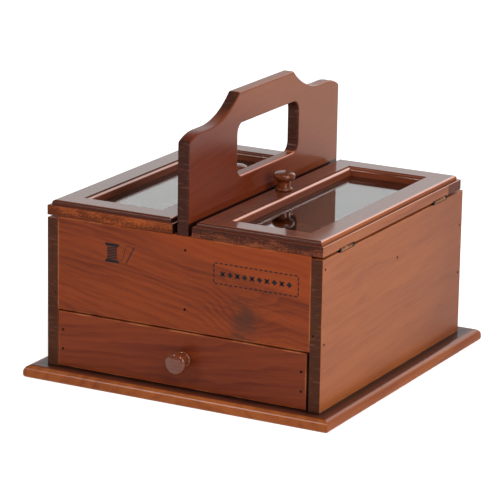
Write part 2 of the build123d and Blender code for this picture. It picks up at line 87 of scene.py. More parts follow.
def ease(tree, value, low, high, start=0.0, end=1.0):
    """A smooth step from start to end while value goes from low to high."""
    made = add_node(tree, "ShaderNodeMapRange", interpolation_type="SMOOTHSTEP")
    numbers = {"Value": value, "From Min": low, "From Max": high, "To Min": start, "To Max": end}
    for name, number in numbers.items():
        feed(tree, made.inputs[name], number)
    return made.outputs["Result"]


def blend_colours(tree, share, first, second):
    """A colour mix node."""
    made = add_node(tree, "ShaderNodeMix", data_type="RGBA")
    feed(tree, made.inputs["Factor"], share)
    feed(tree, made.inputs[6], first)
    feed(tree, made.inputs[7], second)
    return made.outputs[2]


def split_axes(tree, vector):
    """The x, y and z sockets of a vector."""
    parts = add_node(tree, "ShaderNodeSeparateXYZ")
    tree.links.new(vector, parts.inputs[0])
    return parts.outputs


def vector_calc(tree, operation, first, second):
    """A vector math node."""
    made = add_node(tree, "ShaderNodeVectorMath", operation=operation)
    feed(tree, made.inputs[0], first)
    feed(tree, made.inputs[1], second)
    return made.outputs[0]


def stretched_noise(tree, vector, stretch, detail=2.0, roughness=0.5):
    """Noise of so many blobs a metre along each axis."""
    scaled = vector_calc(tree, "MULTIPLY", vector, stretch)
    made = add_node(tree, "ShaderNodeTexNoise")
    tree.links.new(scaled, made.inputs["Vector"])
    made.inputs["Scale"].default_value = 1.0
    made.inputs["Detail"].default_value = detail
    made.inputs["Roughness"].default_value = roughness
    return made.outputs["Fac"]


def drifting_noise(tree, vector, stretch, detail=2.0, roughness=0.5):
    """The same noise about nought."""
    return calc(tree, "SUBTRACT", stretched_noise(tree, vector, stretch, detail, roughness), 0.5)


def add_bump(tree, shader, height, strength, distance):
    """Raises the shader's surface by a height."""
    bump = add_node(tree, "ShaderNodeBump")
    bump.inputs["Strength"].default_value = strength
    bump.inputs["Distance"].default_value = distance
    tree.links.new(height, bump.inputs["Height"])
    tree.links.new(bump.outputs[0], shader.inputs["Normal"])


def new_group(name, inputs, outputs):
    """An empty shader node group with named sockets, its input node and its output node."""
    tree = bpy.data.node_groups.new(name, "ShaderNodeTree")
    for socket_name, kind, value in inputs:
        socket = tree.interface.new_socket(socket_name, in_out="INPUT", socket_type=kind)
        if value is not None:
            socket.default_value = value
    for socket_name, kind in outputs:
        tree.interface.new_socket(socket_name, in_out="OUTPUT", socket_type=kind)
    return tree, tree.nodes.new("NodeGroupInput"), tree.nodes.new("NodeGroupOutput")


FLOAT, COLOUR, VECTOR = "NodeSocketFloat", "NodeSocketColor", "NodeSocketVector"

# Blobs a metre of the noises in the wood: along the fibres, and twice across them
RING_WAVES = (7, 28, 28)
FAINT_RINGS = (9, 90, 90)
FIBRES = (22, 700, 700)
STREAKS = (6, 160, 160)
BROAD_DRIFT = (5, 18, 18)
OPEN_PORES = (70, 1500, 1500)
PORE_TONE = rgb(38, 16, 10)


def make_wood_grain():
    """Growth rings round the X axis, fibres along it, and dark flecks of open pores."""
    tree, source, result = new_group(
        "wood_grain",
        [
            ("Vector", VECTOR, None), ("Early Wood", COLOUR, None), ("Late Wood", COLOUR, None),
            ("Ring Width", FLOAT, 0.006), ("Wander", FLOAT, 0.01), ("Rings", FLOAT, 0.5),
            ("Fibre", FLOAT, 0.5), ("Fleck", FLOAT, 0.2), ("Bulge", FLOAT, 0.0), ("Broad", FLOAT, 1.2),
        ],
        [("Color", COLOUR), ("Height", FLOAT)],
    )
    vector = source.outputs["Vector"]
    _, across, up = split_axes(tree, vector)
    squares = [calc(tree, "MULTIPLY", side, side) for side in (across, up)]
    radius = calc(tree, "SQRT", calc(tree, "ADD", *squares))
    waves = drifting_noise(tree, vector, RING_WAVES, 3.0)
    wavy = calc(tree, "ADD", radius, calc(tree, "MULTIPLY", waves, source.outputs["Wander"]))
    bulged = calc(tree, "ADD", wavy, source.outputs["Bulge"])
    turn = calc(tree, "FRACT", calc(tree, "DIVIDE", bulged, source.outputs["Ring Width"]))
    late = calc(tree, "MULTIPLY", ease(tree, turn, 0.1, 0.85), ease(tree, turn, 0.86, 1.0, 1.0, 0.0))
    clear = ease(tree, stretched_noise(tree, vector, FAINT_RINGS), 0.35, 0.65, 0.35, 1.0)
    ring_tone = calc(tree, "MULTIPLY", late, calc(tree, "MULTIPLY", source.outputs["Rings"], clear))

    fibre = stretched_noise(tree, vector, FIBRES, 3.0, 0.6)
    streak = stretched_noise(tree, vector, STREAKS)
    fine_tones = [
        calc(tree, "MULTIPLY", calc(tree, "SUBTRACT", noise, 0.5), source.outputs["Fibre"])
        for noise in (fibre, streak)
    ]
    drift = calc(tree, "SUBTRACT", stretched_noise(tree, vector, BROAD_DRIFT), 0.3)
    broad_tone = calc(tree, "MULTIPLY", drift, source.outputs["Broad"])
    figure = calc(tree, "ADD", ring_tone, calc(tree, "ADD", *fine_tones))
    tone = calc(tree, "ADD", figure, broad_tone, clamp=True)
    stained = blend_colours(tree, tone, source.outputs["Early Wood"], source.outputs["Late Wood"])

    pores = ease(tree, stretched_noise(tree, vector, OPEN_PORES), 0.6, 0.74)
    fleck = calc(tree, "MULTIPLY", pores, source.outputs["Fleck"])
    tree.links.new(blend_colours(tree, fleck, stained, PORE_TONE), result.inputs["Color"])
    tree.links.new(calc(tree, "SUBTRACT", fibre, fleck), result.inputs["Height"])
    return tree


SAW_MARKS = (90, 90, 650)
SAW_PALE = rgb(106, 72, 60)
SAW_DARK = rgb(32, 16, 13)


def make_cut_ends():
    """Where the saw crossed the fibres, the stain soaks in dark and the saw's marks stay."""
    tree, source, result = new_group(
        "cut_ends",
        [
            ("Color", COLOUR, None), ("Vector", VECTOR, None), ("Along Grain", FLOAT, 0.0),
            ("End Tone", COLOUR, None), ("Strength", FLOAT, 0.9), ("From", FLOAT, 0.55),
        ],
        [("Color", COLOUR), ("Mask", FLOAT)],
    )
    start = source.outputs["From"]
    facing = calc(tree, "ABSOLUTE", source.outputs["Along Grain"])
    crossed = ease(tree, facing, start, calc(tree, "ADD", start, 0.3))
    mask = calc(tree, "MULTIPLY", crossed, source.outputs["Strength"])
    marks = stretched_noise(tree, source.outputs["Vector"], SAW_MARKS, 3.0, 0.7)
    pale = ease(tree, marks, 0.52, 0.72, 0.0, 0.5)
    sawn = blend_colours(tree, pale, source.outputs["End Tone"], SAW_PALE)
    deep = blend_colours(tree, ease(tree, marks, 0.3, 0.46, 0.6, 0.0), sawn, SAW_DARK)
    mixed = blend_colours(tree, mask, source.outputs["Color"], deep)
    tree.links.new(mixed, result.inputs["Color"])
    tree.links.new(mask, result.inputs["Mask"])
    return tree


WEAR_PATCHES = (60, 60, 60)


def make_edge_wear_and_highlight():
    """How near a point is to the edges of the box from Low to High: 1 on an edge, 0 past Width."""
    tree, source, result = new_group(
        "edge_wear_and_highlight",
        [
            ("Vector", VECTOR, None), ("Low", VECTOR, None), ("High", VECTOR, None),
            ("Width", FLOAT, 0.004),
        ],
        [("Mask", FLOAT)],
    )
    vector = source.outputs["Vector"]
    depths = [
        *split_axes(tree, vector_calc(tree, "SUBTRACT", vector, source.outputs["Low"])),
        *split_axes(tree, vector_calc(tree, "SUBTRACT", source.outputs["High"], vector)),
    ]
    nearest = depths[0]
    for depth in depths[1:]:
        nearest = calc(tree, "MINIMUM", nearest, depth)
    share = calc(tree, "DIVIDE", nearest, source.outputs["Width"])
    patchy = ease(tree, stretched_noise(tree, vector, WEAR_PATCHES), 0.4, 0.62, 0.12, 1.0)
    mask = calc(tree, "MULTIPLY", ease(tree, share, 0.3, 1.2, 1.0, 0.0), patchy)
    tree.links.new(mask, result.inputs["Mask"])
    return tree


TORN_FIBRES = (520, 520, 900)
TORN_DRIFT = (60, 60, 190)


def make_rough_sawn():
    """A rough-sawn face, only stained over: torn fibres full of stain, and the wood bare between."""
    tree, source, result = new_group(
        "rough_sawn",
        [
            ("Color", COLOUR, None), ("Vector", VECTOR, None), ("Mask", FLOAT, 0.0),
            ("Ground", COLOUR, None), ("Torn", COLOUR, None), ("Share", FLOAT, 0.5),
        ],
        [("Color", COLOUR), ("Height", FLOAT)],
    )
    mask = source.outputs["Mask"]
    torn = stretched_noise(tree, source.outputs["Vector"], TORN_FIBRES, 4.0, 0.6)
    drift = drifting_noise(tree, source.outputs["Vector"], TORN_DRIFT)
    depth = calc(tree, "ADD", torn, calc(tree, "MULTIPLY", drift, 0.7))
    full = calc(tree, "SUBTRACT", 1.06, source.outputs["Share"])
    cover = ease(tree, depth, calc(tree, "SUBTRACT", full, 0.34), full)
    mottled = blend_colours(tree, cover, source.outputs["Ground"], source.outputs["Torn"])
    mixed = blend_colours(tree, mask, source.outputs["Color"], mottled)
    tree.links.new(mixed, result.inputs["Color"])
    tree.links.new(calc(tree, "MULTIPLY", torn, mask), result.inputs["Height"])
    return tree


KNOT_CLOUD = (95, 95, 150)


def make_knot():
    """A smoky knot in the wood: a dark smudge, and the bulge that it puts into the rings beside it."""
    tree, source, result = new_group(
        "knot",
        [("Vector", VECTOR, None), ("Centre", VECTOR, None), ("Reach", VECTOR, None)],
        [("Smoke", FLOAT), ("Bulge", FLOAT)],
    )
    away = vector_calc(tree, "SUBTRACT", source.outputs["Vector"], source.outputs["Centre"])
    scaled = vector_calc(tree, "DIVIDE", away, source.outputs["Reach"])
    length = add_node(tree, "ShaderNodeVectorMath", operation="LENGTH")
    tree.links.new(scaled, length.inputs[0])
    distance = length.outputs["Value"]
    cloud = drifting_noise(tree, source.outputs["Vector"], KNOT_CLOUD, 5.0, 0.65)
    ragged = calc(tree, "ADD", distance, calc(tree, "MULTIPLY", cloud, 2.6))
    tree.links.new(ease(tree, ragged, 0.1, 1.35, 1.0, 0.0), result.inputs["Smoke"])
    tree.links.new(ease(tree, distance, 0.0, 3.0, 1.0, 0.0), result.inputs["Bulge"])
    return tree


GROUPS = {
    "grain": make_wood_grain(),
    "ends": make_cut_ends(),
    # the edge band: pale edges of wear, with a painted highlight along the arrises
    "wear": make_edge_wear_and_highlight(),
    "sawn": make_rough_sawn(),
    "knot": make_knot(),
}


def place_group(tree, name, **values):
    """A shared group in a material, with its own values. Underscores stand for the spaces in names."""
    made = add_node(tree, "ShaderNodeGroup", node_tree=GROUPS[name])
    for socket_name, value in values.items():
        feed(tree, made.inputs[socket_name.replace("_", " ")], value)
    return made


def new_material(name):
    """A material with its principled shader and its object coordinates."""
    material = bpy.data.materials.new(name)
    material.use_nodes = True
    tree = material.node_tree
    shader = tree.nodes["Principled BSDF"]
    return material, tree, shader, add_node(tree, "ShaderNodeTexCoord")


def set_shader(shader, **values):
    """Sets the shader's own sockets. Underscores stand for the spaces in names."""
    for socket_name, value in values.items():
        shader.inputs[socket_name.replace("_", " ")].default_value = value


def wear(node_name, material):
    """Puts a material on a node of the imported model."""
    thing = nodes[node_name]
    thing.data.materials.clear()
    thing.data.materials.append(material)


# ---------------------------------------------------------------- wood
GRAIN_TURN = {"X": (0, 0, 0), "Y": (0, 0, -math.pi / 2), "Z": (0, math.pi / 2, 0)}
GRAIN_AXIS = {"X": 0, "Y": 1, "Z": 2}
FAR = 1.0  # metres: moves a bound out of play

TONES = {
    "chestnut": (rgb(128, 56, 24), rgb(90, 35, 17)),
    "russet": (rgb(120, 52, 24), rgb(88, 33, 17)),
    "amber": (rgb(150, 81, 38), rgb(118, 56, 25)),
    "walnut": (rgb(118, 58, 36), rgb(92, 44, 28)),
    "turned": (rgb(116, 55, 26), rgb(88, 37, 18)),
    "handle": (rgb(108, 43, 19), rgb(78, 28, 14)),
    "umber": (rgb(96, 46, 28), rgb(66, 29, 18)),
    "inside": (rgb(120, 66, 40), rgb(84, 42, 26)),
}
END_TONE = rgb(50, 28, 23)
# Pale edges: wear, and a painted highlight along the arrises
WORN_AND_HIGHLIGHT_TONE = rgb(178, 104, 60)
SMOKE_TONE = rgb(70, 40, 29)
EDGE_HIGHLIGHT_TONE = rgb(214, 134, 104)  # painted highlight on rounded edges that look up
GAP_SHADE_TONE = rgb(20, 10, 8)  # painted shade in the gaps between parts
# painted shade on the faces of a lid that look to the front
STEP_SHADE_TONE = rgb(62, 30, 22)
# painted shade on level faces, darker than the sides
LEVEL_SHADE_TONE = rgb(100, 48, 31)

# How strongly each of them covers the wood
WORN_AND_HIGHLIGHT_SHARE = 0.55
SMOKE_SHARE = 0.72
EDGE_HIGHLIGHT_SHARE = 0.75
GAP_SHADE_SHARE = 0.92
STEP_SHADE_SHARE = 0.75
LEVEL_SHADE_SHARE = 0.85

FLECK = 0.12
WOOD_ROUGHNESS = 0.5
END_ROUGHNESS = 0.25  # added where the grain is cut
WEAR_AND_HIGHLIGHT_WIDTH = 0.0011
SOFT_BORDER = 0.002  # metres in which a band of tone fades out
SAWN_HEIGHT = 0.008  # a lid's rough front face, from its foot to the step
SAWN_BORDER = (0.0074, 0.0082)


def rubbed_edges(tree, colour, facing, parts, limit):
    """Paints a highlight on the rounded edges that look up and not to the front, up to a height."""
    slope = ease(tree, facing[2], 0.45, 0.7)
    not_level = ease(tree, facing[2], 0.93, 0.985, 1.0, 0.0)
    round_over = calc(tree, "MULTIPLY", slope, not_level)
    not_front = ease(tree, facing[1], -0.5, -0.2)
    low_enough = ease(tree, parts[2], limit - SOFT_BORDER, limit, 1.0, 0.0)
    rub = calc(tree, "MULTIPLY", calc(tree, "MULTIPLY", round_over, not_front), low_enough)
    return blend_colours(tree, calc(tree, "MULTIPLY", rub, EDGE_HIGHLIGHT_SHARE), colour, EDGE_HIGHLIGHT_TONE)


def shaded_gap(tree, colour, facing, parts, side, limit):
    """Paints shade on the faces towards a gap, up to a height. side is 1, -1 or, for both, 0."""
    if side:
        across = calc(tree, "MULTIPLY", facing[0], side)
    else:
        across = calc(tree, "ABSOLUTE", facing[0])
    below = ease(tree, parts[2], limit - SOFT_BORDER, limit, 1.0, 0.0)
    deep = calc(tree, "MULTIPLY", ease(tree, across, 0.6, 0.9), below)
    return blend_colours(tree, calc(tree, "MULTIPLY", deep, GAP_SHADE_SHARE), colour, GAP_SHADE_TONE)


def wood(name, box, grain="X", tone="chestnut", log=(0.0, 0.03, 0.05), tilt=(0.0, 0.0),
         ring_width=0.006, wander=0.016, rings=0.45, fibre=0.8, broad=1.2, coat=0.2, side_coat=None,
         coat_from=0.3, gloss=0.2, ends=0.9, ends_from=0.55, wet_ends=False, thin=None, knot=None,
         sawn=None, level_tone=None, shaded=None, rubbed=None, change=None):
    """Stained and varnished pine for the board in a box.

    grain is the axis along the fibres. log and tilt place the board in its log, and ring_width, wander,
    rings, fibre and broad shape its figure. coat is the weight of the varnish on faces that look up,
    past the slope coat_from, and side_coat on the others; gloss is its roughness. ends is how dark the
    end grain is, past the slope ends_from, and wet_ends keeps the varnish on it. The rest is only given
    where it shows: thin, the axis across a board whose edges are pale with wear and a painted highlight;
    knot, its centre, reach and bulge; sawn, an entry of SAWN_FACES, with painted shade on the faces that
    look to the front above it; level_tone, the colour of the painted shade on level faces;
    shaded, the side and height of a gap with painted shade; rubbed, the height up
    to which rounded edges get a painted highlight; change, one more change of colour.
    """
    material, tree, shader, place = new_material(name)
    turned = add_node(tree, "ShaderNodeMapping")
    tree.links.new(place.outputs["Object"], turned.inputs["Vector"])
    turned.inputs["Rotation"].default_value = GRAIN_TURN[grain]
    log_place = add_node(tree, "ShaderNodeMapping")
    tree.links.new(turned.outputs[0], log_place.inputs["Vector"])
    log_place.inputs["Location"].default_value = log
    log_place.inputs["Rotation"].default_value = (0, math.radians(tilt[0]), math.radians(tilt[1]))
    early, late = TONES[tone]
    figure = place_group(
        tree, "grain", Vector=log_place.outputs[0], Early_Wood=early, Late_Wood=late,
        Ring_Width=ring_width, Wander=wander, Rings=rings, Fibre=fibre, Fleck=FLECK, Broad=broad,
    )
    colour = figure.outputs["Color"]
    height = figure.outputs["Height"]
    if knot is not None:
        centre, reach, bulge = knot
        smudge = place_group(tree, "knot", Vector=place.outputs["Object"], Centre=centre, Reach=reach)
        bend = calc(tree, "MULTIPLY", smudge.outputs["Bulge"], bulge)
        tree.links.new(bend, figure.inputs["Bulge"])
        smoke = calc(tree, "MULTIPLY", smudge.outputs["Smoke"], SMOKE_SHARE)
        colour = blend_colours(tree, smoke, colour, SMOKE_TONE)
    facing = split_axes(tree, place.outputs["Normal"])
    parts = split_axes(tree, place.outputs["Object"])
    if change is not None:
        colour = change(tree, colour, place, parts)
    # painted highlight on the rounded edges
    if rubbed is not None:
        colour = rubbed_edges(tree, colour, facing, parts, rubbed)
    # painted shade on level faces
    if level_tone is not None:
        level = calc(tree, "MULTIPLY", ease(tree, facing[2], 0.75, 0.97), LEVEL_SHADE_SHARE)
        colour = blend_colours(tree, level, colour, level_tone)
    # pale edges: wear, and a painted highlight along the arrises
    if thin is not None:
        low, high = box[0].copy(), box[1].copy()
        low[GRAIN_AXIS[thin]] -= FAR
        high[GRAIN_AXIS[thin]] += FAR
        edges = place_group(
            tree, "wear", Vector=place.outputs["Object"], Low=low, High=high, Width=WEAR_AND_HIGHLIGHT_WIDTH,
        )
        worn = calc(tree, "MULTIPLY", edges.outputs["Mask"], WORN_AND_HIGHLIGHT_SHARE)
        colour = blend_colours(tree, worn, colour, WORN_AND_HIGHLIGHT_TONE)
    bare = 0.0
    if sawn is not None:
        ground, torn, cover_at_foot, cover_at_step = sawn
        foot = box[0].z
        border = [foot + rise for rise in SAWN_BORDER]
        under = ease(tree, parts[2], *border, 1.0, 0.0)
        bare = calc(tree, "MULTIPLY", ease(tree, facing[1], -0.6, -0.9), under)
        # painted shade on the faces that look to the front; the rough face covers it below the step
        step = calc(tree, "MULTIPLY", ease(tree, facing[1], -0.25, -0.5), STEP_SHADE_SHARE)
        colour = blend_colours(tree, step, colour, STEP_SHADE_TONE)
        covered = ease(tree, parts[2], foot, foot + SAWN_HEIGHT, cover_at_foot, cover_at_step)
        rough_face = place_group(
            tree, "sawn", Color=colour, Vector=place.outputs["Object"], Mask=bare, Ground=ground,
            Torn=torn, Share=covered,
        )
        colour = rough_face.outputs["Color"]
        height = calc(tree, "ADD", height, rough_face.outputs["Height"])
    cut = place_group(
        tree, "ends", Color=colour, Vector=place.outputs["Object"], Strength=ends, From=ends_from,
        Along_Grain=facing[GRAIN_AXIS[grain]], End_Tone=END_TONE,
    )
    colour = cut.outputs["Color"]
    # painted shade in a gap
    if shaded is not None:
        colour = shaded_gap(tree, colour, facing, parts, *shaded)
    tree.links.new(colour, shader.inputs["Base Color"])
    dull = calc(tree, "MULTIPLY", cut.outputs["Mask"], END_ROUGHNESS)
    tree.links.new(calc(tree, "ADD", dull, WOOD_ROUGHNESS), shader.inputs["Roughness"])
    low_coat = coat if side_coat is None else side_coat
    varnish = ease(tree, facing[2], coat_from, coat_from + 0.3, low_coat, coat)
    dry = bare if wet_ends else calc(tree, "MAXIMUM", cut.outputs["Mask"], bare)
    wet = calc(tree, "SUBTRACT", 1.0, dry)
    tree.links.new(calc(tree, "MULTIPLY", wet, varnish), shader.inputs["Coat Weight"])
    add_bump(tree, shader, height, 0.25, 0.0002)
    set_shader(shader, Specular_IOR_Level=0.06, Coat_Roughness=gloss, Coat_IOR=1.5)
    return material


FLAME_TONE = rgb(142, 60, 22)
FLAME_SHARE = 0.5
FLAME_FALL = 0.235  # how fast the flame's line drops to the right
FLAME_WOBBLE = 0.012
FLAME_LINE = (0.1175, 0.1215)  # its height at the panel's middle, and where the tone is full
FLAME_START = (-0.045, 0.0)  # from here to the right


def paler_top(tree, colour, place, parts):
    """The front panel's flame: above a slanting line in the grain the wood is more orange."""
    wobble = drifting_noise(tree, place.outputs["Object"], (25, 25, 60), 3.0)
    slant = calc(tree, "ADD", parts[2], calc(tree, "MULTIPLY", parts[0], FLAME_FALL))
    line = calc(tree, "ADD", slant, calc(tree, "MULTIPLY", wobble, FLAME_WOBBLE))
    above = ease(tree, line, *FLAME_LINE)
    here = calc(tree, "MULTIPLY", above, ease(tree, parts[0], *FLAME_START))
    return blend_colours(tree, calc(tree, "MULTIPLY", here, FLAME_SHARE), colour, FLAME_TONE)


# painted sheen on the handle board
HANDLE_SHEEN_TONE = rgb(164, 98, 60)
HANDLE_RISE = (0.15, 0.225)  # heights from which and to which the painted sheen grows, at the middle of the board
HANDLE_SHEEN_SHARE = 0.45


def painted_sheen_up_and_back(tree, colour, place, parts):
    """Painted sheen: the handle board is painted paler towards its top and its rear."""
    rise = calc(tree, "ADD", parts[2], calc(tree, "MULTIPLY", parts[1], 0.5))
    share = ease(tree, rise, *HANDLE_RISE, 0.0, HANDLE_SHEEN_SHARE)
    return blend_colours(tree, share, colour, HANDLE_SHEEN_TONE)


SIDE_DARK = rgb(112, 54, 28)
SIDE_DARK_SHARE = 0.45
SIDE_BORDER = (-0.01, 0.12)  # from the middle of the panel to close before its rear end


def darker_rear(tree, colour, place, parts):
    """The side panel is darker behind its middle, along a ragged line, and paler in front."""
    cloud = drifting_noise(tree, place.outputs["Object"], (9, 9, 9))
    back = calc(tree, "ADD", parts[1], calc(tree, "MULTIPLY", cloud, 0.12))
    share = ease(tree, back, *SIDE_BORDER, 0.0, SIDE_DARK_SHARE)
    return blend_colours(tree, share, colour, SIDE_DARK)


CASE_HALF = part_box("right_side_panel")[1]
# painted contact shadow on the base board next to the case, and painted shade on its level top further
# out
FOOT_SHADOW_TONE = rgb(34, 17, 13)
LEDGE_SHADE_TONE = rgb(84, 39, 24)
ARRIS_TONE = rgb(176, 106, 62)
FOOT_BORDER = (0.004, 0.0095)  # metres from the case in which the painted contact shadow fades out
LEDGE_BORDER = (0.0093, 0.0099)  # heights that part the base board's top from its rounded edge
ARRIS_BORDER = (0.0008, 0.0022)


def foot_shadow_and_wear(tree, colour, place, parts):
    """The base board's top gets a painted contact shadow close to the case and painted shade further
    out, and the board is worn pale along its bottom arris.
    """
    past_side = calc(tree, "SUBTRACT", calc(tree, "ABSOLUTE", parts[0]), CASE_HALF.x)
    past_end = calc(tree, "SUBTRACT", calc(tree, "ABSOLUTE", parts[1]), CASE_HALF.y)
    cloud = stretched_noise(tree, place.outputs["Object"], WEAR_PATCHES)
    ragged = calc(tree, "MULTIPLY", cloud, 0.003)
    away = calc(tree, "ADD", calc(tree, "MAXIMUM", past_side, past_end), ragged)
    top = blend_colours(tree, ease(tree, away, *FOOT_BORDER), FOOT_SHADOW_TONE, LEDGE_SHADE_TONE)
    colour = blend_colours(tree, ease(tree, parts[2], *LEDGE_BORDER), colour, top)
    return blend_colours(tree, ease(tree, parts[2], *ARRIS_BORDER, 0.6, 0.0), colour, ARRIS_TONE)


def dress_board(node_name, **settings):
    """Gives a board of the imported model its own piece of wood."""
    wear(node_name, wood(node_name + "_wood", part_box(node_name), **settings))


KNOT = (Vector((0.055, -0.125, 0.0705)), Vector((0.0135, 0.02, 0.0195)), 0.016)
SHOULDER_HEIGHT = 0.19  # the handle's rounded edges get a painted highlight up to its shoulders


def dress_case():
    """The case, the handle board and the base board."""
    across = dict(grain="X", thin="Y", tone="chestnut", wander=0.03, coat=0.12, gloss=0.25)
    dress_board("front_panel", log=(0.31, 0.15, 0.03), tilt=(-8, 3), ring_width=0.0055, rings=0.45,
                fibre=1.15, broad=1.0, change=paler_top, knot=KNOT, **across)
    dress_board("rear_panel", log=(0.9, -0.14, 0.02), tilt=(5, 3), ring_width=0.0075, rings=0.5,
                **across)
    sides = dict(grain="Y", thin="X", tone="amber", wander=0.02, rings=0.22, fibre=1.0, broad=0.5,
                 coat=0.26, gloss=0.3, change=darker_rear)
    dress_board("right_side_panel", log=(0.2, -0.18, -0.02), tilt=(3, 2), **sides)
    dress_board("left_side_panel", log=(1.2, 0.18, -0.03), tilt=(-3, 4), **sides)
    gap_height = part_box("left_lid_inner_stile")[1].z - 0.001
    dress_board("handle_board", grain="Y", tone="handle", log=(0.5, 0.02, -0.3), tilt=(6, 0),
                ring_width=0.008, wander=0.03, rings=0.3, fibre=0.7, broad=0.8, coat=0.45,
                side_coat=0.42, gloss=0.16, shaded=(0, gap_height), change=painted_sheen_up_and_back, ends_from=0.25,
                rubbed=SHOULDER_HEIGHT)
    dress_board("base_board", grain="Y", tone="amber", log=(0.1, 0.03, 0.06), tilt=(2, 1),
                change=foot_shadow_and_wear, ring_width=0.012, wander=0.02, rings=0.5, coat=0.45, side_coat=0.1,
                gloss=0.18, ends=0.0)
    dress_board("compartment_floor", grain="Y", tone="inside", log=(0.7, 0.02, 0.09), rings=0.3)
    for side in ("left", "right"):
        dress_board(f"{side}_cross_divider", grain="X", tone="inside", log=(0.4, 0.12, 0.02))


def dress_drawer():
    """The drawer's boards."""
    dress_board("drawer_front", grain="X", thin="Y", tone="russet", log=(0.63, 0.15, 0.045),
                tilt=(7, 2), ring_width=0.008, wander=0.035, rings=0.5, coat=0.12, gloss=0.25)
    for number, part in enumerate(("left_side", "right_side")):
        dress_board(f"drawer_{part}", grain="Y", tone="inside", log=(0.2 + number, 0.1, 0.03))
    dress_board("drawer_back", grain="X", tone="inside", log=(0.1, 0.1, 0.05))
    dress_board("drawer_bottom", grain="Y", tone="inside", log=(0.6, 0.02, 0.08), rings=0.3)


# Front faces of the lids: the wood between the torn fibres, the stain in them, and how much they cover
# at the foot and at the step
SAWN_FACES = {
    "left": (rgb(150, 74, 35), rgb(92, 42, 24), 0.52, 0.32),
    "right": (rgb(126, 66, 42), rgb(62, 32, 24), 0.36, 0.6),
}


def dress_lids():
    """The rails, the stiles and the strips under the panes."""
    for number, side in enumerate(("left", "right")):
        shift = 0.37 * number
        sawn = SAWN_FACES[side]
        inward = 1 if side == "left" else -1
        outer_tone = "walnut" if side == "left" else "amber"
        polished = dict(ring_width=0.005, coat=1.0, gloss=0.1, rubbed=FAR)
        inner = dict(tone="walnut", shaded=(inward, FAR), **polished)
        dress_board(f"{side}_lid_front_rail", grain="X", log=(0.1 + shift, 0.06, -0.1),
                    side_coat=0.15, coat_from=0.65, sawn=sawn, **inner)
        dress_board(f"{side}_lid_rear_rail", grain="X", log=(0.6 + shift, 0.04, -0.1),
                    side_coat=0.25, ends=0.45, **inner)
        dress_board(f"{side}_lid_inner_stile", grain="Y", log=(0.3 + shift, 0.03, -0.11),
                    side_coat=0.25, ends=0.2, sawn=sawn, **inner)
        dress_board(f"{side}_lid_outer_stile", grain="Y", tone=outer_tone,
                    log=(0.8 + shift, 0.05, -0.1), side_coat=0.25, ends=0.2, sawn=sawn,
                    level_tone=LEVEL_SHADE_TONE, **polished)
        dress_board(f"{side}_lid_glass_strips", grain="Y", tone="umber", log=(0.4, 0.03, 0.05), ends=0.3)


# ---------------------------------------------------------------- metal and glass
# Colour, colour of the patches, and roughness
BRASS = (rgb(168, 112, 74), rgb(96, 60, 40), 0.42)
NAIL = (rgb(66, 38, 28), rgb(28, 16, 12), 0.6)
STEEL = (rgb(150, 148, 142), rgb(104, 100, 94), 0.3)
HINGE_END_SHADE = rgb(18, 11, 9)
METAL_PATCHES = (420, 420, 420)
SMEARS = (14, 9, 14)


def dull_metal(name, colour, spots, rough, dark_ends=None):
    """A small fitting, dull in patches. dark_ends is its box, if it gets painted shade at its ends along
    Y.
    """
    material, tree, shader, place = new_material(name)
    patches = stretched_noise(tree, place.outputs["Object"], METAL_PATCHES, 3.0)
    mottled = blend_colours(tree, ease(tree, patches, 0.4, 0.68), colour, spots)
    if dark_ends is not None:
        front, rear = dark_ends[0].y, dark_ends[1].y
        middle, reach = (front + rear) / 2, (rear - front) / 2
        along = split_axes(tree, place.outputs["Object"])[1]
        away = calc(tree, "ABSOLUTE", calc(tree, "SUBTRACT", along, middle))
        # painted shade at the ends of the barrel
        mottled = blend_colours(tree, ease(tree, away, 0.62 * reach, 0.85 * reach), mottled, HINGE_END_SHADE)
    tree.links.new(mottled, shader.inputs["Base Color"])
    tree.links.new(ease(tree, patches, 0.35, 0.7, rough, rough + 0.3), shader.inputs["Roughness"])
    add_bump(tree, shader, patches, 0.3, 0.0001)
    set_shader(shader, Metallic=1.0)
    return material


def pane_glass():
    """Clear float glass with a trace of smoke in it, and a few smears that catch the light."""
    material, tree, shader, place = new_material("pane_glass")
    smear = stretched_noise(tree, place.outputs["Object"], SMEARS, 4.0, 0.6)
    tree.links.new(ease(tree, smear, 0.5, 0.8, 0.0, 0.05), shader.inputs["Roughness"])
    set_shader(shader, Base_Color=rgb(226, 228, 228), Metallic=0.0, Transmission_Weight=1.0, IOR=1.68)
    return material


def dress_fittings():
    """Hinges, brads, screws and panes."""
    brass = dull_metal("hinge_brass", *BRASS)
    nail = dull_metal("brad_steel", *NAIL)
    steel = dull_metal("screw_steel", *STEEL)
    glass = pane_glass()
    for name in nodes:
        if name.endswith("brads"):
            wear(name, nail)
        elif "screw" in name:
            wear(name, brass if "hinge" in name else steel)
        elif "hinge" in name:
            wear(name, dull_metal(name + "_brass", *BRASS, dark_ends=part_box(name)))
        elif name.endswith("glass"):
            wear(name, glass)


# ---------------------------------------------------------------- prints on the front panel
PANEL_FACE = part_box("front_panel")[0].y
INK_SINK = 0.00002  # the ink's foot, inside the wood
INK_RISE = 0.00004
INK_TONE = rgb(20, 15, 15)
THIN_INK_TONE = rgb(64, 32, 20)
INK_SPECKS = (900, 900, 900)


def ink_material():
    """Dry black ink, thin in places."""
    material, tree, shader, place = new_material("dry_ink")
    worn = stretched_noise(tree, place.outputs["Object"], INK_SPECKS, 3.0)
    thin = ease(tree, worn, 0.55, 0.8, 0.0, 0.6)
    tree.links.new(blend_colours(tree, thin, INK_TONE, THIN_INK_TONE), shader.inputs["Base Color"])
    set_shader(shader, Roughness=0.6, Specular_IOR_Level=0.2)
    return material


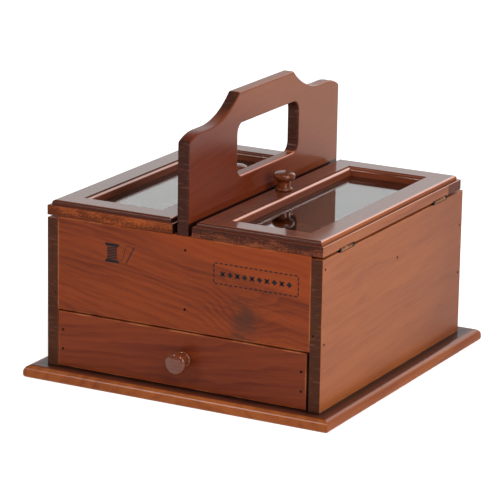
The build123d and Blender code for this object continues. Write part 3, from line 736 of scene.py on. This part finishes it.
def ink_place(x, z, turn):
    """Where a flat shape lies, in millimetres from the panel's middle and the floor, and its turn."""
    return {
        "rotation": (math.pi / 2, math.radians(turn), 0),
        "location": (x * MM, PANEL_FACE + INK_SINK, z * MM),
    }


def raise_ink():
    """Gives the flat shape being edited its thickness, and leaves edit mode."""
    rise = {"value": (0, -INK_SINK - INK_RISE, 0)}
    bpy.ops.mesh.extrude_region_move(TRANSFORM_OT_translate=rise)
    bpy.ops.mesh.select_all(action="SELECT")
    bpy.ops.mesh.normals_make_consistent(inside=False)
    bpy.ops.object.mode_set(mode="OBJECT")
    bpy.ops.object.transform_apply()
    return bpy.context.object


def ink_blob(x, z, width, height, corners=4, turn=0.0):
    """A flat shape of so many corners: a diamond, or with many a long drop."""
    bpy.ops.object.select_all(action="DESELECT")
    bpy.ops.mesh.primitive_circle_add(
        vertices=corners, radius=MM / 2, fill_type="NGON", **ink_place(x, z, turn),
    )
    bpy.context.object.scale = (width, height, 1)
    bpy.ops.object.mode_set(mode="EDIT")
    return raise_ink()


def ink_bar(x, z, length, thick, turn=0.0):
    """A bar with rounded ends."""
    bpy.ops.object.select_all(action="DESELECT")
    bpy.ops.mesh.primitive_plane_add(size=MM, **ink_place(x, z, turn))
    bpy.context.object.scale = (length, thick, 1)
    bpy.ops.object.transform_apply(location=False)
    bpy.ops.object.mode_set(mode="EDIT")
    bpy.ops.mesh.bevel(offset=0.45 * thick * MM, segments=3, affect="VERTICES")
    return raise_ink()


def ink_ring(x, z, width, height, turn, wall):
    """A flat ring: the eye of a needle."""
    bpy.ops.object.select_all(action="DESELECT")
    bpy.ops.mesh.primitive_circle_add(
        vertices=20, radius=MM / 2, fill_type="NGON", **ink_place(x, z, turn),
    )
    bpy.context.object.scale = (width, height, 1)
    bpy.ops.object.transform_apply(location=False)
    bpy.ops.object.mode_set(mode="EDIT")
    bpy.ops.mesh.inset(thickness=wall * MM)
    bpy.ops.mesh.delete(type="FACE")
    bpy.ops.mesh.select_all(action="SELECT")
    return raise_ink()


def ink_thread(points, thick):
    """A thread through the points, smooth and flat."""
    bpy.ops.object.select_all(action="DESELECT")
    path = bpy.data.curves.new("thread", "CURVE")
    path.dimensions = "3D"
    line = path.splines.new("NURBS")
    line.points.add(len(points) - 1)
    for point, (x, z) in zip(line.points, points):
        point.co = (x * MM, 0, z * MM, 1)
    line.order_u = 3
    line.use_endpoint_u = True
    path.bevel_depth = thick * MM / 2
    path.bevel_resolution = 1
    path.resolution_u = 6
    path.use_fill_caps = True
    thread = bpy.data.objects.new("thread", path)
    bpy.context.scene.collection.objects.link(thread)
    thread.select_set(True)
    bpy.context.view_layer.objects.active = thread
    bpy.ops.object.convert(target="MESH")
    thread = bpy.context.object
    thread.location.y = PANEL_FACE
    thread.scale.y = INK_RISE / (thick * MM / 2)
    bpy.ops.object.transform_apply()
    return thread


def join_print(name, shapes, ink):
    """Joins the shapes to one print on the case."""
    bpy.ops.object.select_all(action="DESELECT")
    for shape in shapes:
        shape.select_set(True)
    bpy.context.view_layer.objects.active = shapes[0]
    bpy.ops.object.join()
    print_piece = bpy.context.object
    print_piece.name = name
    print_piece.data.name = name
    print_piece.data.materials.clear()
    print_piece.data.materials.append(ink)
    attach(print_piece, "case")


# Sizes and places of the prints in millimetres, turns in degrees
SPOOL = {"x": -61.5, "z": 108.5, "body": 9.0, "turns": 8, "pitch": 1.25, "turn_thick": 0.95}
FLANGES = ((1.5, 11.4), (2.6, 13.0))  # the two steps of a flange: height past the windings, and width
FLANGE_THICK = 1.3
NEEDLE = {"x": -46.0, "z": 107.5, "length": 15.5, "thick": 0.95, "turn": -62.0}
EYE = {"width": 3.2, "height": 1.5, "wall": 0.4}
THREAD_THICK = 0.5


def print_spool(ink):
    """A spool of thread, its needle, and the thread between them."""
    middle_x, middle_z = SPOOL["x"], SPOOL["z"]
    half_stack = (SPOOL["turns"] - 1) * SPOOL["pitch"] / 2
    shapes = [
        ink_bar(middle_x, middle_z + side * (half_stack + rise), width, FLANGE_THICK)
        for side in (-1, 1) for rise, width in FLANGES
    ]
    for turn in range(SPOOL["turns"]):
        height = middle_z - half_stack + turn * SPOOL["pitch"]
        shapes.append(ink_bar(middle_x, height, SPOOL["body"], SPOOL["turn_thick"], turn=-4))
    place, length, turn = Vector((NEEDLE["x"], NEEDLE["z"])), NEEDLE["length"], NEEDLE["turn"]
    lean = math.radians(turn)
    eye = place + Vector((math.cos(lean), -math.sin(lean))) * (length / 2)
    shapes.append(ink_blob(*place, length, NEEDLE["thick"], corners=12, turn=turn))
    shapes.append(ink_ring(*eye, EYE["width"], EYE["height"], turn, EYE["wall"]))
    start_x, start_z = middle_x + SPOOL["body"] / 2, middle_z - half_stack + 1.2
    shapes.append(ink_thread([
        (start_x, start_z), (start_x + 4.5, start_z - 3.2), (start_x + 6.0, middle_z + 0.5),
        (start_x + 8.0, middle_z + 8.0), (eye.x - 3.0, eye.y + 1.2), (eye.x, eye.y),
    ], THREAD_THICK))
    join_print("printed_spool", shapes, ink)


STITCHES = {"x": 64.0, "z": 106.0, "width": 72.0, "height": 16.0, "dash": 2.9, "thick": 1.0}
STITCH_ROWS = ((17, STITCHES["width"], 0), (4, STITCHES["height"], 90))  # stitches, length and turn
BAND = {"motifs": 10, "pitch": 6.3, "cross": 5.2, "cross_thick": 1.5, "diamond": 4.8}


def print_stitches(ink):
    """A running-stitch frame round a band of cross stitches and diamonds."""
    middle_x, middle_z = STITCHES["x"], STITCHES["z"]
    shapes = []
    for count, length, turn in STITCH_ROWS:
        for side in (-1, 1):
            for number in range(count):
                along = ((number + 0.5) / count - 0.5) * length
                if turn:
                    spot = (middle_x + side * STITCHES["width"] / 2, middle_z + along)
                else:
                    spot = (middle_x + along, middle_z + side * STITCHES["height"] / 2)
                shapes.append(ink_bar(*spot, STITCHES["dash"], STITCHES["thick"], turn=turn))
    for number in range(BAND["motifs"]):
        x = middle_x + (number - (BAND["motifs"] - 1) / 2) * BAND["pitch"]
        if number % 2:
            shapes.append(ink_blob(x, middle_z, BAND["diamond"], BAND["diamond"]))
        else:
            for lean in (-45, 45):
                shapes.append(ink_bar(x, middle_z, BAND["cross"], BAND["cross_thick"], turn=lean))
    join_print("printed_stitches", shapes, ink)


# ---------------------------------------------------------------- turned knobs
def dress_knobs():
    """Turned knobs, glossy all over: the wood's fibres run from the foot to the face."""
    for name, grain in (("drawer_knob", "Y"), ("left_lid_knob", "Z"), ("right_lid_knob", "Z")):
        dress_board(name, grain=grain, tone="turned", log=(0.02, 0.004, 0.006), ring_width=0.003,
                    wander=0.004, coat=0.8, gloss=0.04, ends=0.2, wet_ends=True)


# ---------------------------------------------------------------- stage
SOFT_LIGHT = 0.36  # the world's own light on the object
MIRRORED_CEILING = 0.15  # how bright the varnish shows the room overhead, where the backdrop is 1
MIRRORED_ROOM = 0.2  # the room in front
MIRRORED_RIGHT = 0.3  # and the room at the right
FLOOR_SIZE = 14.0
FLOOR_DROP = 0.0002  # under the box's foot
FLOOR_GLOW = 0.62  # brings the lit floor to white for the camera and for what mirrors it
WHITE = (1.0, 1.0, 1.0, 1.0)


def make_stage():
    """A pale floor that keeps the box's shadow and shows white where the light reaches it."""
    bpy.ops.object.select_all(action="DESELECT")
    bpy.ops.mesh.primitive_plane_add(size=FLOOR_SIZE, location=(0, 0, -FLOOR_DROP))
    floor = bpy.context.object
    floor.name = "floor"
    material, tree, shader, _ = new_material("pale_floor")
    set_shader(shader, Base_Color=(0.82, 0.82, 0.82, 1.0), Roughness=0.9, Specular_IOR_Level=0.0,
               Emission_Color=WHITE)
    rays = add_node(tree, "ShaderNodeLightPath")
    seen = calc(tree, "MAXIMUM", rays.outputs["Is Camera Ray"], rays.outputs["Is Glossy Ray"])
    seen = calc(tree, "MAXIMUM", seen, rays.outputs["Is Transmission Ray"])
    tree.links.new(calc(tree, "MULTIPLY", seen, FLOOR_GLOW), shader.inputs["Emission Strength"])
    floor.data.materials.append(material)


def make_world():
    """White behind the box for the camera and the varnish, and a darker room overhead and in front."""
    world = bpy.data.worlds.new("studio")
    bpy.context.scene.world = world
    world.use_nodes = True
    tree = world.node_tree
    backdrop = tree.nodes["Background"]
    rays = add_node(tree, "ShaderNodeLightPath")
    sky = add_node(tree, "ShaderNodeTexCoord")
    rightwards, rearwards, upwards = split_axes(tree, sky.outputs["Generated"])
    overhead = ease(tree, upwards, 0.42, 0.75, 1.0, MIRRORED_CEILING)
    in_front = ease(tree, rearwards, -0.1, 0.35, MIRRORED_ROOM, 1.0)
    to_right = ease(tree, rightwards, 0.3, 0.5, 1.0, MIRRORED_RIGHT)
    room = calc(tree, "MULTIPLY", calc(tree, "MULTIPLY", overhead, in_front), to_right)
    mirrored = calc(tree, "MULTIPLY", rays.outputs["Is Glossy Ray"], room)
    clear = calc(tree, "MAXIMUM", rays.outputs["Is Camera Ray"], rays.outputs["Is Transmission Ray"])
    scattered = calc(tree, "MULTIPLY", rays.outputs["Is Diffuse Ray"], SOFT_LIGHT)
    strength = calc(tree, "ADD", calc(tree, "MAXIMUM", clear, mirrored), scattered)
    backdrop.inputs["Color"].default_value = WHITE
    tree.links.new(strength, backdrop.inputs["Strength"])


LIT_POINT = Vector((0, 0, 0.1))
# Two small lamps on either side of the camera, a soft one low at the right, and a soft box at the
# back: name, place, size in metres, and watts
LAMPS = (
    ("right_key", (1.05, -1.5, 1.65), 0.45, 15),
    ("left_key", (-1.1, -1.9, 1.35), 0.45, 15),
    ("right_fill", (1.5, -0.65, 0.7), 0.9, 17),
    ("back_box", (0.2, 2.2, 1.3), 1.6, 13),
)


def make_lights():
    """Square soft lamps that look at the middle of the box."""
    for name, place, size, power in LAMPS:
        light = bpy.data.lights.new(name, "AREA")
        light.energy = power
        light.size = size
        lamp = bpy.data.objects.new(name, light)
        bpy.context.scene.collection.objects.link(lamp)
        lamp.location = place
        lamp.rotation_euler = (LIT_POINT - Vector(place)).to_track_quat("-Z", "Y").to_euler()


def make_camera():
    """The camera at the photograph's place, with its slight roll."""
    back = Vector((
        math.sin(CAMERA_AZIMUTH) * math.cos(CAMERA_ELEVATION),
        -math.cos(CAMERA_AZIMUTH) * math.cos(CAMERA_ELEVATION),
        math.sin(CAMERA_ELEVATION),
    ))
    level = Vector((0, 0, 1)).cross(back).normalized()
    upright = back.cross(level)
    right = math.cos(CAMERA_ROLL) * level + math.sin(CAMERA_ROLL) * upright
    top = math.cos(CAMERA_ROLL) * upright - math.sin(CAMERA_ROLL) * level
    turn = Matrix((right, top, back)).transposed().to_4x4()
    lens = bpy.data.cameras.new("photo_camera")
    lens.sensor_width = SENSOR_WIDTH
    lens.lens = FOCAL_SHARE * SENSOR_WIDTH
    lens.clip_end = 50.0
    camera = bpy.data.objects.new("photo_camera", lens)
    bpy.context.scene.collection.objects.link(camera)
    camera.matrix_world = Matrix.Translation(CAMERA_PLACE) @ turn
    bpy.context.scene.camera = camera


dress_case()
dress_drawer()
dress_lids()
dress_fittings()
dress_knobs()
dry_ink = ink_material()
print_spool(dry_ink)
print_stitches(dry_ink)
make_stage()
make_world()
make_lights()
make_camera()
bpy.context.scene.view_settings.view_transform = "Standard"
